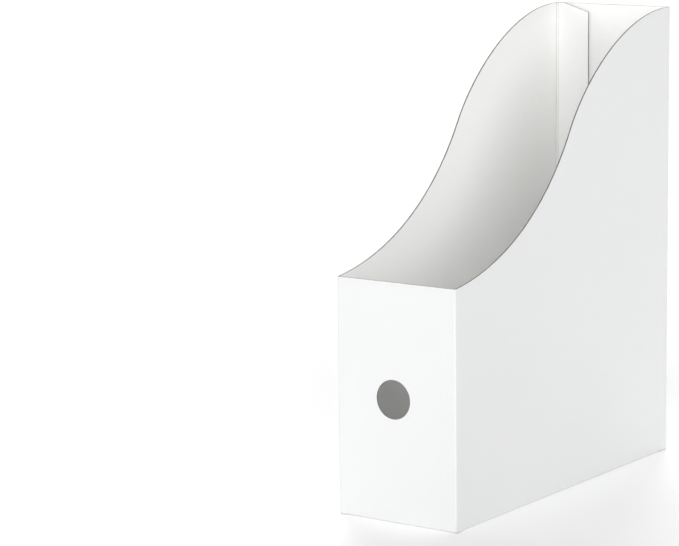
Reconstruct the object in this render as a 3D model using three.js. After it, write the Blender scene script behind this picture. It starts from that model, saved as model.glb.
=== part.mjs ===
// A magazine file holder folded from one die-cut sheet of white coated board and
// glued along one flap. Millimetres, +Z up, origin at the middle of the footprint.
// The low front panel faces -Y and the right side panel faces +X.
import * as THREE from 'three';

const WIDTH = 92;
const DEPTH = 275;
const HEIGHT = 318;
const FRONT_HEIGHT = 159;
const BOARD = 1.2;
// clearance between two pieces that meet at a fold
const SLIT = 0.3;

// The side panels' top edge is an S: a shallow rise from the front panel, a steep
// middle, and a level end at the back panel.
const S_MIDDLE = new THREE.Vector2(4, 245);
const S_MIDDLE_SLOPE = THREE.MathUtils.degToRad(58);
const S_FRONT_SLOPE = THREE.MathUtils.degToRad(7);
const S_FRONT_REACH = 62;
const S_LOWER_REACH = 54;
const S_UPPER_REACH = 38;
const S_BACK_REACH = 60;

const HOLE_RADIUS = 13;
const HOLE_HEIGHT = 82;
// each hole sits this far to the left of its panel's middle, seen from outside
const HOLE_SHIFT = 2.4;

const GLUE_FLAP_WIDTH = 26;
const GLUE_FLAP_SLANT = 6;
// the slant of its ends begins this far from the fold
const GLUE_FLAP_LEVEL = 6;
const GLUE_WIDTH = 14;
const GLUE_THICKNESS = 0.4;
const GLUE_GAP = 0.5;
const GLUE_END_MARGIN = 14;

// the sheet is cut away this high at its bottom corners
const RELIEF = 0.5;
// how far in from each corner the folds of the dust flaps begin, left and then right
const FRONT_TONGUES = [3.5, 2];
const BACK_TONGUES = [28, 3.5];

const DUST_FLAP_LENGTH = 45;
// the dust flaps slope up over the bottom panel, whose ends stop short of the walls
const DUST_FLAP_TILT = 11;
const DUST_FLAP_TAPER = 36;
const DUST_FLAP_BACK_TAPER = 12;
const DUST_FLAP_CORNER = 8;
const TAB_HEIGHT = 13;
const TAB_END_MARGIN = 16;
const TAB_CORNER = 8;
const TAB_CLEARANCE = 1;
const BOTTOM_INSET = 9.5;

const BOARD_COLOUR = 0xf4f4f2;
const FOLD_COLOUR = 0xe9e9e6;
const GLUE_COLOUR = 0xd9cfae;

const outerX = WIDTH / 2;
const outerY = DEPTH / 2;
const innerX = outerX - BOARD;
const innerY = outerY - BOARD;
// height at which a panel starts above the fold that joins it to the bottom
const aboveFold = BOARD + SLIT;
const glueFlapY = innerY - GLUE_GAP;
const glueFlapEdge = -innerX + GLUE_FLAP_WIDTH;
const tabOuterX = -innerX + TAB_CLEARANCE;
const tabInnerX = tabOuterX + BOARD;
const bottomEnd = outerY - BOTTOM_INSET;

// Sheets are drawn flat and then turned so that their thickness runs along one axis.
const X = new THREE.Vector3(1, 0, 0);
const Y = new THREE.Vector3(0, 1, 0);
const Z = new THREE.Vector3(0, 0, 1);
const FACING_UP = new THREE.Matrix4().makeBasis(X, Y, Z);
const FACING_RIGHT = new THREE.Matrix4().makeBasis(Y, Z, X);
const FACING_FRONT = new THREE.Matrix4().makeBasis(X, Z, Y.clone().negate());

const holder = new THREE.Group();
holder.name = 'magazine_file_holder';

function addPiece(name, outline, facing, from, thickness, colour = BOARD_COLOUR) {
  const geometry = new THREE.ExtrudeGeometry(outline, {
    depth: thickness,
    bevelEnabled: false,
    curveSegments: 28,
  });
  geometry.translate(0, 0, from);
  geometry.applyMatrix4(facing);
  const material = new THREE.MeshStandardMaterial({ color: colour, roughness: 0.6 });
  const piece = new THREE.Mesh(geometry, material);
  piece.name = name;
  holder.add(piece);
}

// A closed outline through the given corners, each [x, y] or [x, y, rounding].
function outlineThrough(corners) {
  const outline = new THREE.Shape();
  corners.forEach(([x, y, rounding = 0], index) => {
    const corner = new THREE.Vector2(x, y);
    if (rounding === 0) {
      if (index === 0) outline.moveTo(x, y);
      else outline.lineTo(x, y);
      return;
    }
    const before = new THREE.Vector2(...corners.at(index - 1).slice(0, 2));
    const after = new THREE.Vector2(...corners[(index + 1) % corners.length].slice(0, 2));
    const start = corner.clone().add(before.sub(corner).setLength(rounding));
    const end = corner.clone().add(after.sub(corner).setLength(rounding));
    outline.lineTo(start.x, start.y);
    outline.quadraticCurveTo(x, y, end.x, end.y);
  });
  outline.closePath();
  return outline;
}

// A panel's bottom edge: relieved at both ends, and raised where a fold takes its place.
function bottomEdge(start, end, foldStart, foldEnd) {
  return [
    [start, RELIEF],
    [foldStart - SLIT, 0],
    [foldStart - SLIT, aboveFold],
    [foldEnd + SLIT, aboveFold],
    [foldEnd + SLIT, 0],
    [end, RELIEF],
  ];
}

function cutFingerHole(outline, x) {
  const hole = new THREE.Path();
  hole.absarc(x, HOLE_HEIGHT, HOLE_RADIUS, 0, 2 * Math.PI, true);
  outline.holes.push(hole);
}

function sidePanelOutline(front, back, edge) {
  const lower = new THREE.Vector2(S_LOWER_REACH, 0).rotateAround(new THREE.Vector2(), S_MIDDLE_SLOPE);
  const upper = new THREE.Vector2(S_UPPER_REACH, 0).rotateAround(new THREE.Vector2(), S_MIDDLE_SLOPE);
  const rise = S_FRONT_REACH * Math.tan(S_FRONT_SLOPE);
  const outline = new THREE.Shape(edge.map(([y, z]) => new THREE.Vector2(y, z)));
  outline.lineTo(back, HEIGHT);
  outline.bezierCurveTo(
    back - S_BACK_REACH, HEIGHT,
    S_MIDDLE.x + upper.x, S_MIDDLE.y + upper.y,
    S_MIDDLE.x, S_MIDDLE.y,
  );
  outline.bezierCurveTo(
    S_MIDDLE.x - lower.x, S_MIDDLE.y - lower.y,
    front + S_FRONT_REACH, FRONT_HEIGHT + rise,
    front, FRONT_HEIGHT,
  );
  outline.closePath();
  return outline;
}

// A fold is a round-backed strip about the inside corner of the two pieces it joins,
// from one angle to the other in degrees.
function addFold(name, facing, inside, startAngle, endAngle, from, length) {
  const [start, end] = [startAngle, endAngle].map(THREE.MathUtils.degToRad);
  const outline = new THREE.Shape();
  outline.absarc(inside[0], inside[1], BOARD, start, end, false);
  outline.lineTo(inside[0], inside[1]);
  outline.closePath();
  addPiece(name, outline, facing, from, length, FOLD_COLOUR);
}

// walls
const panelEnd = innerX - SLIT;
const frontFold = [-innerX + FRONT_TONGUES[0], innerX - FRONT_TONGUES[1]];
const frontPanel = outlineThrough([
  ...bottomEdge(-panelEnd, panelEnd, ...frontFold),
  [panelEnd, FRONT_HEIGHT],
  [-panelEnd, FRONT_HEIGHT],
]);
cutFingerHole(frontPanel, -HOLE_SHIFT);
addPiece('front_panel', frontPanel, FACING_FRONT, innerY, BOARD);

// the back panel covers the glued corner, and shows its raw edge there
const backLeft = -outerX + SLIT;
const backFold = [-innerX + BACK_TONGUES[0], innerX - BACK_TONGUES[1]];
const backPanel = outlineThrough([
  [backLeft, RELIEF],
  [backLeft + BOARD, 0],
  ...bottomEdge(backLeft, panelEnd, ...backFold).slice(1),
  [panelEnd, HEIGHT],
  [backLeft, HEIGHT],
]);
cutFingerHole(backPanel, HOLE_SHIFT);
addPiece('back_panel', backPanel, FACING_FRONT, -outerY, BOARD);

const sideEnd = innerY - SLIT;
const rightEdge = bottomEdge(-sideEnd, sideEnd, -bottomEnd, bottomEnd);
const rightSide = sidePanelOutline(-sideEnd, sideEnd, rightEdge);
addPiece('right_side_panel', rightSide, FACING_RIGHT, innerX, BOARD);

const leftEnd = glueFlapY - BOARD - SLIT;
const leftEdge = [[-sideEnd, RELIEF], [leftEnd, RELIEF]];
const leftSide = sidePanelOutline(-sideEnd, leftEnd, leftEdge);
addPiece('left_side_panel', leftSide, FACING_RIGHT, -outerX, BOARD);

// the glue flap lies against the back panel's inner face, held by a strip of glue
const glueFlap = outlineThrough([
  [-innerX + SLIT, aboveFold],
  [-innerX + GLUE_FLAP_LEVEL, aboveFold],
  [glueFlapEdge, aboveFold + GLUE_FLAP_SLANT, BOARD],
  [glueFlapEdge, HEIGHT - GLUE_FLAP_SLANT, BOARD],
  [-innerX + GLUE_FLAP_LEVEL, HEIGHT],
  [-innerX + SLIT, HEIGHT],
]);
addPiece('glue_flap', glueFlap, FACING_FRONT, -glueFlapY, BOARD);

const glueMiddle = -innerX + GLUE_FLAP_WIDTH / 2;
const glueLine = outlineThrough([
  [glueMiddle - GLUE_WIDTH / 2, aboveFold + GLUE_END_MARGIN],
  [glueMiddle + GLUE_WIDTH / 2, aboveFold + GLUE_END_MARGIN],
  [glueMiddle + GLUE_WIDTH / 2, HEIGHT - GLUE_END_MARGIN],
  [glueMiddle - GLUE_WIDTH / 2, HEIGHT - GLUE_END_MARGIN],
]);
const glueStart = -innerY + (GLUE_GAP - GLUE_THICKNESS) / 2;
addPiece('glue_line', glueLine, FACING_FRONT, glueStart, GLUE_THICKNESS, GLUE_COLOUR);

// bottom: a full panel hinged on the right side, and a tab tucked up inside the left side
const bottomPanel = outlineThrough([
  [tabInnerX + SLIT, -bottomEnd],
  [innerX - SLIT, -bottomEnd],
  [innerX - SLIT, bottomEnd],
  [tabInnerX + SLIT, bottomEnd],
]);
addPiece('bottom_panel', bottomPanel, FACING_UP, 0, BOARD);

const tabEnd = innerY - TAB_END_MARGIN;
const tuckTab = outlineThrough([
  [-tabEnd, aboveFold],
  [tabEnd, aboveFold],
  [tabEnd, aboveFold + TAB_HEIGHT, TAB_CORNER],
  [-tabEnd, aboveFold + TAB_HEIGHT, TAB_CORNER],
]);
addPiece('tuck_tab', tuckTab, FACING_RIGHT, tabOuterX, BOARD);

// dust flaps, each cut back on the side where its neighbouring wall folds in
const tilt = THREE.MathUtils.degToRad(DUST_FLAP_TILT);
const frontFlapPlace = new THREE.Matrix4().makeRotationX(tilt).setPosition(0, -innerY, BOARD);
const backFlapPlace = new THREE.Matrix4().makeRotationX(-tilt).setPosition(0, innerY, BOARD);
const frontFlapLeft = tabInnerX + 2 * BOARD;
const frontDustFlap = outlineThrough([
  [frontFlapLeft, SLIT],
  [frontFold[1], SLIT],
  [frontFold[1] - DUST_FLAP_TAPER, DUST_FLAP_LENGTH, DUST_FLAP_CORNER],
  [frontFlapLeft, DUST_FLAP_LENGTH, DUST_FLAP_CORNER],
]);
addPiece('front_dust_flap', frontDustFlap, frontFlapPlace, -BOARD, BOARD);

const backDustFlap = outlineThrough([
  [backFold[1], -SLIT],
  [backFold[0], -SLIT],
  [backFold[0] + DUST_FLAP_BACK_TAPER, -DUST_FLAP_LENGTH, DUST_FLAP_CORNER],
  [backFold[1], -DUST_FLAP_LENGTH, DUST_FLAP_CORNER],
]);
addPiece('back_dust_flap', backDustFlap, backFlapPlace, -BOARD, BOARD);

// upright folds between the walls
const lowFold = FRONT_HEIGHT - RELIEF;
const tallFold = HEIGHT - RELIEF;
addFold('fold_front_left', FACING_UP, [-innerX, -innerY], 180, 270, RELIEF, lowFold);
addFold('fold_front_right', FACING_UP, [innerX, -innerY], 270, 360, RELIEF, lowFold);
addFold('fold_back_right', FACING_UP, [innerX, innerY], 0, 90, RELIEF, tallFold);
addFold('fold_back_left', FACING_UP, [-innerX, glueFlapY - BOARD], 90, 180, RELIEF, tallFold);

// folds along the bottom edges
const flapFoldEnd = 270 + DUST_FLAP_TILT;
const flapFoldStart = 270 - DUST_FLAP_TILT;
const frontFoldLength = frontFold[1] - frontFold[0];
const backFoldLength = backFold[1] - backFold[0];
addFold('fold_front_dust', FACING_RIGHT, [-innerY, BOARD], 180, flapFoldEnd, frontFold[0], frontFoldLength);
addFold('fold_back_dust', FACING_RIGHT, [innerY, BOARD], flapFoldStart, 360, backFold[0], backFoldLength);
addFold('fold_bottom', FACING_FRONT, [innerX, BOARD], 270, 360, -bottomEnd, 2 * bottomEnd);
addFold('fold_tuck_tab', FACING_FRONT, [tabInnerX, BOARD], 180, 270, -tabEnd, 2 * tabEnd);

export default holder;
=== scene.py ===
"""A magazine file holder folded from one die-cut sheet of white coated board.

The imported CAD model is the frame. Every sheet of it is shown by a finer copy with
rounded cut edges and a grey core, and the front and the sides bow a little. Every fold
is shown by a strip of board that bends with the two panels it joins. The loop of walls
is opened at the back left, so the strip there is in two halves, one on each side.
"""
import math
from collections import namedtuple

import bmesh
import bpy
from mathutils import Euler, Matrix, Quaternion, Vector


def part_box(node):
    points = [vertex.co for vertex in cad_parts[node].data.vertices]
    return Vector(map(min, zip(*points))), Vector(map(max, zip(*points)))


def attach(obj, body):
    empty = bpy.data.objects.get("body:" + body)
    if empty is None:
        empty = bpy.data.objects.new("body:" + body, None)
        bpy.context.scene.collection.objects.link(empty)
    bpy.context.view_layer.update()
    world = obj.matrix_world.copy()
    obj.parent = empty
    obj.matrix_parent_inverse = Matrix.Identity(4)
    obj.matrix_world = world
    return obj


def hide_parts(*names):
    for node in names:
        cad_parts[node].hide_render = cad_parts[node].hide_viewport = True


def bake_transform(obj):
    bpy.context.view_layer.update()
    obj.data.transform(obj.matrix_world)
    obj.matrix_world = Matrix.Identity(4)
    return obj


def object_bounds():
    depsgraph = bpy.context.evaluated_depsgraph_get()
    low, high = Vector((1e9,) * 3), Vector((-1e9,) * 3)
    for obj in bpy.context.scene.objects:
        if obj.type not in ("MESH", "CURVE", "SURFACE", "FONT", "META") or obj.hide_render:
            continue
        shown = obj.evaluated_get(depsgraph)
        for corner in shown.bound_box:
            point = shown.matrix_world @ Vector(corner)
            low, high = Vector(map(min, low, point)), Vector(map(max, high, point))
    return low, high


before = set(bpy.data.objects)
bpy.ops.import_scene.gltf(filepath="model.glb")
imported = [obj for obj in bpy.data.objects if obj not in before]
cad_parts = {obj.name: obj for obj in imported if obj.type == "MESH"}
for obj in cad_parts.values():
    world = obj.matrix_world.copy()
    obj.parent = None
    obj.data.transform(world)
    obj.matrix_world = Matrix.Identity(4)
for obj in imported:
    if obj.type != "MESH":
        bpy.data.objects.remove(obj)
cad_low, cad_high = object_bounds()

MM = 0.001

# sheets
EDGE_ROUNDING = 0.24 * MM
ROUNDING_STEPS = 3
# the skins wrap over a rounded edge until it has turned this far, as a cosine
SKIN_WRAP = 0.5
# a face belongs to a sheet's broad side if it looks this nearly the same way, as a cosine
BROAD = 0.99
# width of the band along a cut edge in which its scuffs fade out
SCUFF_BAND = 0.4 * MM
# a sheet is cut into cells of about this size
GRID = 14 * MM
SIDE_BOW = 0.7 * MM
FRONT_BOW = 0.4 * MM

# folds
FOLD_STEPS = 10
# radius of the bead inside a fold between two walls, and beside a flap or the bottom
WALL_BEAD = 1.2 * MM
FLAP_BEAD = 0.9 * MM
# how many points of a bead's section, from each foot, carry painted shadow, standing in for the
# shade beside the bead
CREASE_SHADOW_POINTS = 3
# how scuffed a fold's cut ends are, from 0 to 1
END_WEAR = 0.6

# meshes: what counts as one corner, one flat face and one smooth surface
SAME_CORNER = 0.001 * MM
FLAT_ANGLE = math.radians(0.5)
SMOOTH_ANGLE = math.radians(32)

# colours, linear
COAT_COLOUR = (0.727, 0.73, 0.735)
LINER_COLOUR = (0.885, 0.885, 0.874)
CORE_COLOUR = (0.14, 0.136, 0.128)
COAT_SCUFF_COLOUR = (0.6, 0.6, 0.58)
LINER_SCUFF_COLOUR = (0.5, 0.5, 0.48)
GLUE_COLOUR = (0.70, 0.62, 0.42)
# how bright the painted shadow lines beside an inside crease's bead are, a darkening that stands
# in for shade
CREASE_SHADOW_BRIGHTNESS = 0.58
BOARD_SPECULAR = 0.35
# patterns on the board, in cells per metre
CLOUDS = 9
FIBRES = 700
WORN_PATCHES = 160
FLOOR_COLOUR = (0.86, 0.86, 0.86)
FLOOR_GLOW = 0.15

# camera, by its place round the middle of the holder; lengths are in metres, the lens in mm
CAMERA_AZIMUTH = math.radians(35.84)
CAMERA_ELEVATION = math.radians(9.95)
CAMERA_ROLL = math.radians(-0.69)
CAMERA_DISTANCE = 1.887
CAMERA_LENS = 147.1
# the camera looks past the holder, so that it stands to the right of the picture's middle
AIM_LEFT = 0.1159
AIM_BELOW = 0.0139

SKY_COLOUR = (1.0, 1.0, 1.0)
SKY_STRENGTH = 0.2
# each light: its strength, then its azimuth, height and softness in degrees
LIGHTS = {
    "key": (1.58, 30, 40, 40),
    "right": (1.34, 60, 15, 40),
    "left": (0.94, -45, 10, 40),
    "back": (2.0, 215, 35, 30),
}
FLOOR_SIZE = 40.0


# ---------------------------------------------------------------- materials

class Nodes:
    """A small helper that adds and links shader nodes in one material."""

    def __init__(self, name):
        self.material = bpy.data.materials.new(name)
        self.material.use_nodes = True
        self.tree = self.material.node_tree
        self.shader = self.tree.nodes["Principled BSDF"]

    def add(self, kind, inputs=None, **settings):
        """Adds a node; each input is a number, a colour or another node's output."""
        node = self.tree.nodes.new(kind)
        for key, value in settings.items():
            setattr(node, key, value)
        for key, value in (inputs or {}).items():
            if isinstance(value, bpy.types.NodeSocket):
                self.tree.links.new(value, node.inputs[key])
            else:
                node.inputs[key].default_value = value
        return node

    def noise(self, scale, detail, stretch=(1, 1, 1)):
        """Noise in the piece's own coordinates, from 0 to 1; scale is in cells per metre."""
        place = self.add("ShaderNodeTexCoord").outputs["Object"]
        mapping = self.add("ShaderNodeMapping", {"Vector": place, "Scale": stretch})
        texture = self.add(
            "ShaderNodeTexNoise",
            {"Vector": mapping.outputs["Vector"], "Scale": scale, "Detail": detail},
        )
        return texture.outputs["Fac"]

    def ramp(self, value, low, high):
        """A number that goes from low to high as value goes from 0.3 to 0.7."""
        node = self.add(
            "ShaderNodeMapRange",
            {"Value": value, "From Min": 0.3, "From Max": 0.7, "To Min": low, "To Max": high},
        )
        return node.outputs["Result"]

    def mixed(self, share, first, second):
        """A colour between the first and the second, by the second's share."""
        node = self.add("ShaderNodeMix", data_type="RGBA")
        for socket, value in (("Factor", share), ("A", first), ("B", second)):
            target = next(s for s in node.inputs if s.name == socket and s.enabled)
            if isinstance(value, bpy.types.NodeSocket):
                self.tree.links.new(value, target)
            else:
                target.default_value = value
        return next(s for s in node.outputs if s.enabled)

    def bump(self, height, strength, distance):
        """A surface direction that follows height, which is distance deep at most."""
        node = self.add(
            "ShaderNodeBump", {"Height": height, "Strength": strength, "Distance": distance}
        )
        return node.outputs["Normal"]

    def set(self, socket, value):
        """Gives the shader's socket a number, a colour or another node's output."""
        if isinstance(value, bpy.types.NodeSocket):
            self.tree.links.new(value, self.shader.inputs[socket])
        else:
            self.shader.inputs[socket].default_value = value


def rgba(colour, brightness=1.0):
    """A colour for a shader, made brighter or darker."""
    return (*(c * brightness for c in colour), 1.0)


def board_material(name, colour, roughness, grain_depth, scuff_colour):
    """Board surface: cloudy shade, fibre grain, painted shadow lines beside creases, and scuffs
    along the edges.
    """
    nodes = Nodes(name)
    clouds = nodes.noise(scale=CLOUDS, detail=3)
    fibres = nodes.noise(scale=FIBRES, detail=6)
    shade = nodes.mixed(nodes.ramp(clouds, 0.0, 1.0), rgba(colour, 0.985), rgba(colour, 1.01))
    speckled = nodes.mixed(nodes.ramp(fibres, 0.0, 0.5), shade, rgba(colour, 0.95))
    edge = nodes.add("ShaderNodeAttribute", attribute_name="scuff").outputs["Fac"]
    patches = nodes.noise(scale=WORN_PATCHES, detail=5)
    worn = nodes.add(
        "ShaderNodeMath", {0: edge, 1: nodes.ramp(patches, 0.0, 1.0)}, operation="MULTIPLY"
    ).outputs["Value"]
    scuffed = nodes.mixed(worn, speckled, rgba(scuff_colour))
    # painted shadow: the feet of an inside crease's bead are darkened where shade would fall
    # beside it
    pressed = nodes.add("ShaderNodeAttribute", attribute_name="pressed").outputs["Fac"]
    nodes.set("Base Color", nodes.mixed(pressed, scuffed, rgba(colour, CREASE_SHADOW_BRIGHTNESS)))
    nodes.set("Roughness", nodes.ramp(clouds, roughness - 0.04, roughness + 0.05))
    nodes.set("Normal", nodes.bump(fibres, 0.5, grain_depth))
    nodes.set("Specular IOR Level", BOARD_SPECULAR)
    return nodes.material


def core_material():
    """The cut edge: grey, densely packed fibre in thin layers."""
    nodes = Nodes("board_core")
    layers = nodes.noise(scale=260, detail=6, stretch=(1, 1, 3))
    colour = nodes.mixed(
        nodes.ramp(layers, 0.0, 1.0), rgba(CORE_COLOUR, 0.75), rgba(CORE_COLOUR, 1.3)
    )
    nodes.set("Base Color", colour)
    nodes.set("Roughness", 0.9)
    nodes.set("Normal", nodes.bump(layers, 0.5, 0.05 * MM))
    return nodes.material


def glue_material():
    """Dried glue, a little uneven in colour and gloss."""
    nodes = Nodes("dried_glue")
    flow = nodes.noise(scale=120, detail=3)
    colour = nodes.mixed(nodes.ramp(flow, 0, 1), rgba(GLUE_COLOUR, 0.85), rgba(GLUE_COLOUR, 1.1))
    nodes.set("Base Color", colour)
    nodes.set("Roughness", nodes.ramp(flow, 0.3, 0.5))
    nodes.set("Normal", nodes.bump(flow, 0.4, 0.1 * MM))
    return nodes.material


def floor_material():
    """A pale floor that glows faintly, so that shadows on it stay soft."""
    nodes = Nodes("pale_floor")
    clouds = nodes.noise(scale=0.6, detail=2)
    colour = nodes.mixed(nodes.ramp(clouds, 0, 1), rgba(FLOOR_COLOUR, 0.99), rgba(FLOOR_COLOUR))
    nodes.set("Base Color", colour)
    nodes.set("Roughness", 0.9)
    nodes.set("Emission Color", rgba(FLOOR_COLOUR))
    nodes.set("Emission Strength", FLOOR_GLOW)
    return nodes.material


COAT = board_material(
    "white_coat", COAT_COLOUR,
    roughness=0.5, grain_depth=0.03 * MM, scuff_colour=COAT_SCUFF_COLOUR,
)
LINER = board_material(
    "board_liner", LINER_COLOUR,
    roughness=0.75, grain_depth=0.06 * MM, scuff_colour=LINER_SCUFF_COLOUR,
)
CORE = core_material()
BOARD_MATERIALS = (COAT, LINER, CORE)
OUTSIDE, INSIDE, CUT = range(3)


# ---------------------------------------------------------------- board

LEFT, RIGHT = Vector((-1, 0, 0)), Vector((1, 0, 0))
FRONT, BACK = Vector((0, -1, 0)), Vector((0, 1, 0))
DOWN = Vector((0, 0, -1))

front_low, front_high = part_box("front_panel")
side_low, side_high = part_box("right_side_panel")
# the gap between a fold and a sheet in the CAD, and the board's thickness
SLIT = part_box("fold_front_right")[0].x - front_high.x
BOARD = side_high.x - side_low.x


def facing_of(node, roughly):
    """The true direction of the broad side of a CAD sheet that looks roughly this way."""
    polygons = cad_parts[node].data.polygons
    return max(polygons, key=lambda p: p.normal.dot(roughly)).normal.normalized()


def finish_mesh(bm, name):
    """Turns a bmesh into a named object, smooth except at real edges."""
    bmesh.ops.recalc_face_normals(bm, faces=bm.faces)
    mesh = bpy.data.meshes.new(name)
    bm.to_mesh(mesh)
    bm.free()
    for material in BOARD_MATERIALS:
        mesh.materials.append(material)
    mesh.shade_smooth()
    mesh.set_sharp_from_angle(angle=SMOOTH_ANGLE)
    piece = bpy.data.objects.new(name, mesh)
    bpy.context.scene.collection.objects.link(piece)
    return piece


def is_broad(face, facing):
    """Whether a face is part of a sheet's outside or inside, not of its rim."""
    return abs(face.normal.dot(facing)) > BROAD


def paint_faces(bm, facing):
    """Outside coat, inside liner and cut core; the skins wrap over the rounded edges."""
    for face in bm.faces:
        outward = face.normal.dot(facing)
        if outward > SKIN_WRAP:
            face.material_index = OUTSIDE
        elif outward < -SKIN_WRAP:
            face.material_index = INSIDE
        else:
            face.material_index = CUT


def round_cut_edges(bm, facing, is_fold):
    """Rounds the arrises of a sheet, except where a fold carries on from it."""
    edges = []
    for edge in bm.edges:
        broad = [f for f in edge.link_faces if is_broad(f, facing)]
        rim = [f for f in edge.link_faces if not is_broad(f, facing)]
        if len(broad) == 1 and len(rim) == 1 and not is_fold(rim[0]):
            edges.append(edge)
    bmesh.ops.bevel(
        bm, geom=edges, offset=EDGE_ROUNDING, segments=ROUNDING_STEPS, profile=0.5, affect="EDGES"
    )


def add_scuff_band(bm, facing):
    """Adds a narrow ring of faces inside the outline of both broad sides."""
    for side in (facing, -facing):
        broad = [f for f in bm.faces if f.normal.dot(side) > BROAD]
        bmesh.ops.inset_region(bm, faces=broad, thickness=SCUFF_BAND, use_even_offset=True)


def mark_scuffs(bm, facing, is_fold):
    """Sets the scuff number to 1 along the cut edges; it fades to 0 across the band."""
    scuff = bm.verts.layers.float.new("scuff")
    rim = [f for f in bm.faces if not is_broad(f, facing)]
    beside_folds = {v for f in rim if is_fold(f) for v in f.verts}
    for vert in {v for f in rim for v in f.verts} - beside_folds:
        vert[scuff] = 1.0


def cut_grid(bm, facing):
    """Cuts the sheet into a grid, so that it can bow smoothly."""
    across = facing.orthogonal().normalized()
    for direction in (across, facing.cross(across)):
        places = [v.co.dot(direction) for v in bm.verts]
        low, high = min(places), max(places)
        steps = int((high - low) / GRID)
        for step in range(1, steps):
            point = direction * (low + (high - low) * step / steps)
            geometry = bm.verts[:] + bm.edges[:] + bm.faces[:]
            bmesh.ops.bisect_plane(bm, geom=geometry, plane_co=point, plane_no=direction)


def sheet(node, body, roughly, folds=(), bow=None):
    """A finer copy of a CAD sheet whose outside looks roughly one way.

    folds names the CAD folds that carry on from its rim, which there stays square. bow
    says how far a point of it moves inwards.
    """
    facing = facing_of(node, roughly)
    # a rim beside a fold is a slit away from it, and this reaches just past that
    reach = 1.5 * SLIT
    fold_boxes = [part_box(name) for name in folds]

    def is_fold(face):
        centre = face.calc_center_median()
        return any(
            all(low[a] - reach < centre[a] < high[a] + reach for a in range(3))
            for low, high in fold_boxes
        )

    bm = bmesh.new()
    bm.from_mesh(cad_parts[node].data)
    bmesh.ops.remove_doubles(bm, verts=bm.verts, dist=SAME_CORNER)
    bmesh.ops.dissolve_limit(bm, angle_limit=FLAT_ANGLE, verts=bm.verts, edges=bm.edges)
    bm.normal_update()
    add_scuff_band(bm, facing)
    bm.normal_update()
    round_cut_edges(bm, facing, is_fold)
    cut_grid(bm, facing)
    bm.normal_update()
    mark_scuffs(bm, facing, is_fold)
    paint_faces(bm, facing)
    if bow:
        for vert in bm.verts:
            vert.co -= facing * bow(vert.co)
    piece = finish_mesh(bm, "board_" + node)
    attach(piece, body)
    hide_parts(node)


def along_sheet(facing, towards):
    """The direction in a sheet that looks one way, nearest to another direction."""
    return (towards - facing * towards.dot(facing)).normalized()


# a point of a fold's cross-section: skin is the material of the side that starts there,
# and the last is how much painted shadow beside the crease it carries there, from 0 to 1,
# standing in for shade
SectionPoint = namedtuple("SectionPoint", "place skin pressed")


def fold_section(corner, first, second, bead):
    """Cross-section of a fold about its inside corner, all the way round.

    The outside turns from looking one way to looking another, and at both ends a short
    flange reaches the sheet that the fold carries on from. Inside, the crease stands up
    as a bead of this radius, which laps a little over both sheets.
    """
    turn = first.rotation_difference(second)
    still = Quaternion()
    towards_start = along_sheet(first, -second)
    towards_end = along_sheet(second, -first)
    flange_start = towards_start * SLIT
    flange_end = towards_end * SLIT
    section = [SectionPoint(corner + first * BOARD + flange_start, OUTSIDE, 0.0)]
    for step in range(FOLD_STEPS + 1):
        facing = still.slerp(turn, step / FOLD_STEPS) @ first
        section.append(SectionPoint(corner + facing * BOARD, OUTSIDE, 0.0))
    section.append(SectionPoint(corner + second * BOARD + flange_end, CUT, 0.0))
    section.append(SectionPoint(corner + flange_end, INSIDE, 0.0))
    back_turn = towards_end.rotation_difference(towards_start)
    for step in range(FOLD_STEPS + 1):
        reach = still.slerp(back_turn, step / FOLD_STEPS) @ towards_end
        # the points nearest each foot of the bead get painted shadow
        is_foot = min(step, FOLD_STEPS - step) < CREASE_SHADOW_POINTS
        section.append(SectionPoint(corner + reach * bead, INSIDE, float(is_foot)))
    section.append(SectionPoint(corner + flange_start, CUT, 0.0))
    return section


def fold_layout(node, first, second, bead, extra=0.0):
    """A fold's cross-section, the way it runs, and where along that it starts and ends."""
    spots = [vert.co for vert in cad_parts[node].data.vertices]
    along = first.cross(second).normalized()
    corner = min(spots, key=lambda spot: spot.dot(first + second))
    corner = corner - along * corner.dot(along)
    reaches = [spot.dot(along) for spot in spots]
    ends = (min(reaches) - extra, max(reaches) + extra)
    return fold_section(corner, first, second, bead), along, ends


def strip(section, along, ends, name):
    """A piece with one cross-section all along it, from one end to the other."""
    start, end = ends
    bm = bmesh.new()
    scuff = bm.verts.layers.float.new("scuff")
    # the painted shadow beside creases, one number for each point of the section
    pressed = bm.verts.layers.float.new("pressed")
    steps = max(2, int((end - start) / GRID))
    rings = []
    for step in range(steps + 1):
        offset = along * (start + (end - start) * step / steps)
        ring = [bm.verts.new(point.place + offset) for point in section]
        for vert, point in zip(ring, section):
            vert[pressed] = point.pressed
        rings.append(ring)
    for near, far in zip(rings, rings[1:]):
        for i, point in enumerate(section):
            j = (i + 1) % len(section)
            face = bm.faces.new((near[i], near[j], far[j], far[i]))
            face.material_index = point.skin
    for ring in (rings[0], rings[-1]):
        cap = bm.faces.new(ring)
        cap.material_index = CUT
        for vert in ring:
            vert[scuff] = END_WEAR
    return finish_mesh(bm, name)


def fold(node, first, second, bead=WALL_BEAD, extra=0.0):
    """A bent strip of board in a CAD fold's place, which bends with its two bodies.

    Its outside turns from looking along first, on the first body, to looking along
    second, on the second. bead is the radius of the bead inside it. extra is how far it
    runs on at each end, to meet the tongues of board beside it.
    """
    section, along, ends = fold_layout(node, first, second, bead, extra)
    piece = strip(section, along, ends, "bent_" + node)
    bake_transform(piece)
    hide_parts(node)


def split_fold(node, first, second, bodies):
    """A fold between two bodies that no joint joins, so that it opens along its middle.

    Each half rides on its own body, and at rest the two make one strip.
    """
    section, along, ends = fold_layout(node, first, second, WALL_BEAD)
    middle = FOLD_STEPS // 2 + 1
    halves = (section[:middle + 1] + section[-middle - 1:], section[middle:-middle])
    for half, body in zip(halves, bodies):
        piece = strip(half, along, ends, f"half_{node}_on_{body}")
        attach(piece, body)
        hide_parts(node)


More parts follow.
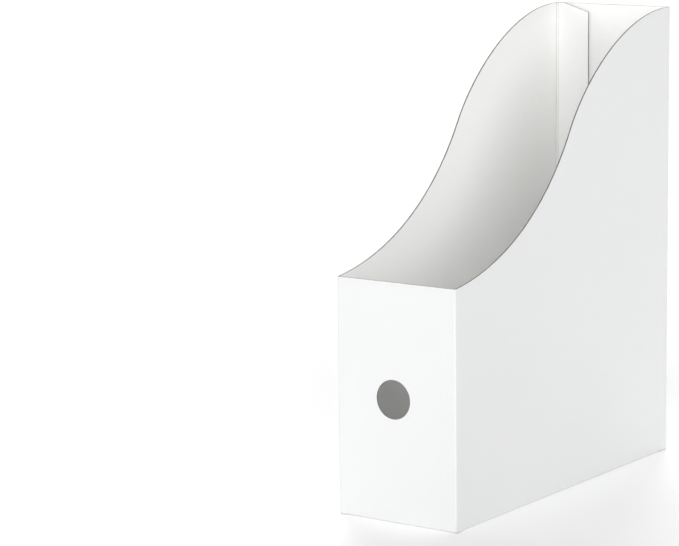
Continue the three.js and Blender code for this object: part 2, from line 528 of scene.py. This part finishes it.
def share(value, low, high):
    """How far a value is from low to high, from 0 to 1."""
    return min(1.0, max(0.0, (value - low) / (high - low)))


def side_bow(point):
    """The side panels lean in a little along their free top edge, between the folds."""
    along = share(point.y, side_low.y, side_high.y)
    up = share(point.z, side_low.z, side_high.z)
    return SIDE_BOW * math.sin(math.pi * along) * up


def front_bow(point):
    """The front leans in a little along its top edge."""
    across = share(point.x, front_low.x, front_high.x)
    up = share(point.z, front_low.z, front_high.z)
    return FRONT_BOW * math.sin(math.pi * across) * up


front_flap_facing = facing_of("front_dust_flap", DOWN)
back_flap_facing = facing_of("back_dust_flap", DOWN)

sheet("front_panel", "front", FRONT, bow=front_bow,
      folds=("fold_front_left", "fold_front_right", "fold_front_dust"))
sheet("right_side_panel", "right", RIGHT, bow=side_bow,
      folds=("fold_front_right", "fold_back_right", "fold_bottom"))
sheet("left_side_panel", "left", LEFT, bow=side_bow, folds=("fold_front_left", "fold_back_left"))
sheet("back_panel", "back", BACK, folds=("fold_back_right", "fold_back_dust"))
sheet("glue_flap", "back", BACK, folds=("fold_back_left",))
sheet("bottom_panel", "bottom", DOWN, folds=("fold_bottom", "fold_tuck_tab"))
sheet("tuck_tab", "tab", LEFT, folds=("fold_tuck_tab",))
sheet("front_dust_flap", "front_flap", DOWN, folds=("fold_front_dust",))
sheet("back_dust_flap", "back_flap", DOWN, folds=("fold_back_dust",))

fold("fold_front_right", FRONT, RIGHT)
fold("fold_back_right", BACK, RIGHT)
fold("fold_front_left", FRONT, LEFT)
split_fold("fold_back_left", LEFT, BACK, ("left", "back"))
fold("fold_front_dust", FRONT, front_flap_facing,
     bead=FLAP_BEAD, extra=SLIT)
fold("fold_back_dust", BACK, back_flap_facing,
     bead=FLAP_BEAD, extra=SLIT)
fold("fold_bottom", DOWN, RIGHT, bead=FLAP_BEAD, extra=SLIT)
fold("fold_tuck_tab", DOWN, LEFT, bead=FLAP_BEAD)

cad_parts["glue_line"].material_slots[0].material = glue_material()


# ---------------------------------------------------------------- stage

def add_floor():
    half = FLOOR_SIZE / 2
    mesh = bpy.data.meshes.new("floor")
    corners = [(-half, -half, 0), (half, -half, 0), (half, half, 0), (-half, half, 0)]
    mesh.from_pydata(corners, [], [(0, 1, 2, 3)])
    mesh.materials.append(floor_material())
    floor = bpy.data.objects.new("floor", mesh)
    bpy.context.scene.collection.objects.link(floor)


def add_light():
    """An even white sky and a few soft lamps."""
    world = bpy.data.worlds.new("studio")
    world.use_nodes = True
    sky = world.node_tree.nodes["Background"]
    sky.inputs["Color"].default_value = rgba(SKY_COLOUR)
    sky.inputs["Strength"].default_value = SKY_STRENGTH
    bpy.context.scene.world = world
    for name, (strength, azimuth, height, softness) in LIGHTS.items():
        light = bpy.data.lights.new(name, "SUN")
        light.energy = strength
        light.angle = math.radians(softness)
        lamp = bpy.data.objects.new(name, light)
        lamp.rotation_euler = (math.radians(90 - height), 0, math.radians(azimuth))
        bpy.context.scene.collection.objects.link(lamp)


def add_camera():
    """The camera stands where the photograph was taken from."""
    middle = (cad_low + cad_high) / 2
    turn = Euler((math.pi / 2 - CAMERA_ELEVATION, 0, CAMERA_AZIMUTH)).to_matrix()
    turn = turn @ Matrix.Rotation(CAMERA_ROLL, 3, "Z")
    aim = middle + turn @ Vector((-AIM_LEFT, -AIM_BELOW, 0))
    data = bpy.data.cameras.new("camera")
    data.lens = CAMERA_LENS
    camera = bpy.data.objects.new("camera", data)
    place = Matrix.Translation(aim + turn @ Vector((0, 0, CAMERA_DISTANCE)))
    camera.matrix_world = place @ turn.to_4x4()
    bpy.context.scene.collection.objects.link(camera)
    bpy.context.scene.camera = camera


add_floor()
add_light()
add_camera()
bpy.context.scene.view_settings.view_transform = "Standard"
